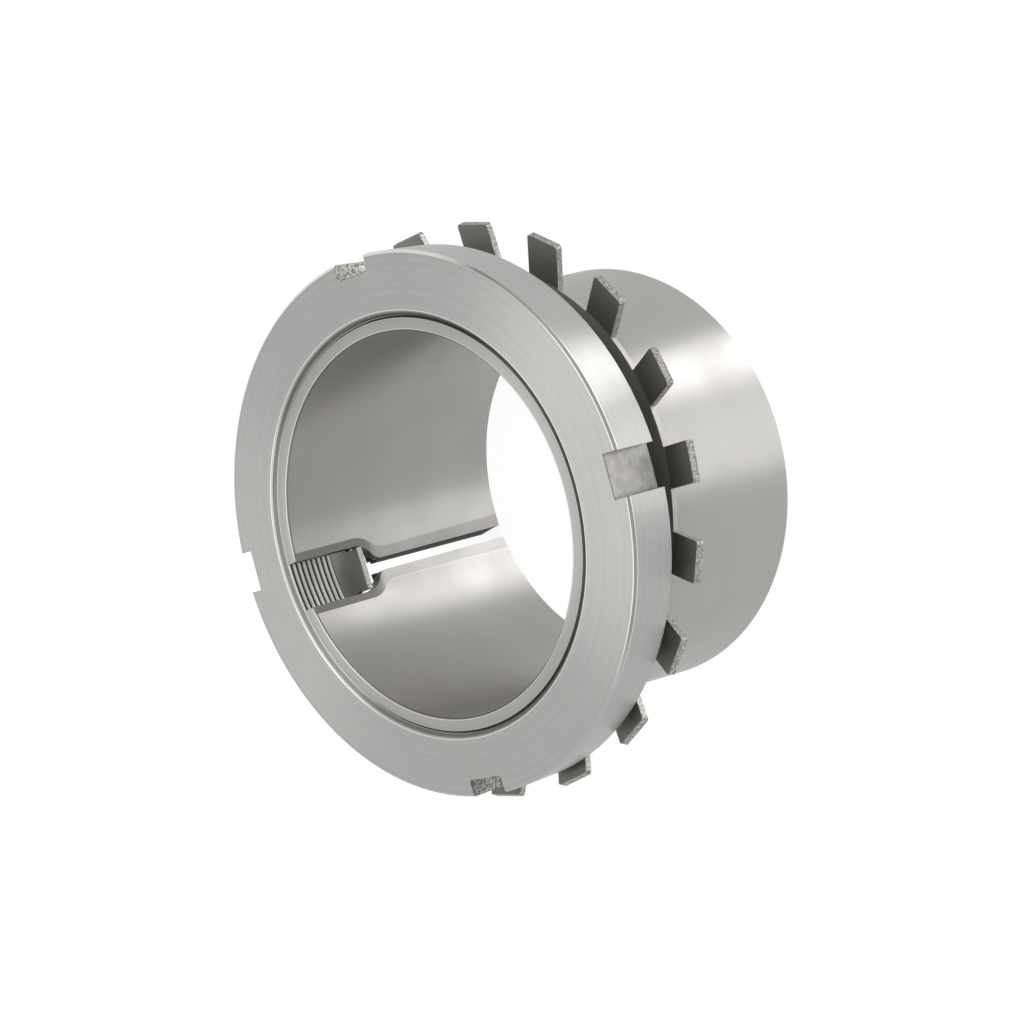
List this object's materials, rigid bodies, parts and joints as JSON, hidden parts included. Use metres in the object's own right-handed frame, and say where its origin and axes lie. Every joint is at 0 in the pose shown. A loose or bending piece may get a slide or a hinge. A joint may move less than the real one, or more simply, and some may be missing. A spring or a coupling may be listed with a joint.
{
  "type": "bearing adapter sleeve",
  "caption": "Tapered, slit adapter sleeve for fixing a tapered-bore rolling bearing on a plain shaft, with its threaded lock nut and toothed lock washer.",
  "frame": {"origin": "centre of the big end face, which the sleeve stands on", "axes": "+Z along the bore towards the lock nut, +Y towards the keyway and slit"},
  "size_m": [0.1642, 0.1643, 0.0891],
  "materials": {
    "ground_steel": "ground, satin",
    "turned_steel": "turned, satin",
    "stamped_steel": "rolled sheet, darker"
  },
  "bodies": {
    "sleeve": {"adapter_sleeve": "ground_steel"},
    "washer": {"lock_washer": "stamped_steel"},
    "nut": {"lock_nut": "turned_steel"}
  },
  "joints": [
    {"name": "washer_slide", "type": "slide", "parent": "sleeve", "child": "washer", "axis": [0, 0, 1], "range_m": [0, 0.018]},
    {"name": "nut_turn", "type": "hinge", "parent": "washer", "child": "nut", "pos_m": [0, 0, 0.079], "axis": [0, 0, 1], "range_deg": [0, 3240]}
  ],
  "couplings": [
    {"joint": "washer_slide", "follows": "nut_turn", "m_per_rad": 0.00031831}
  ]
}
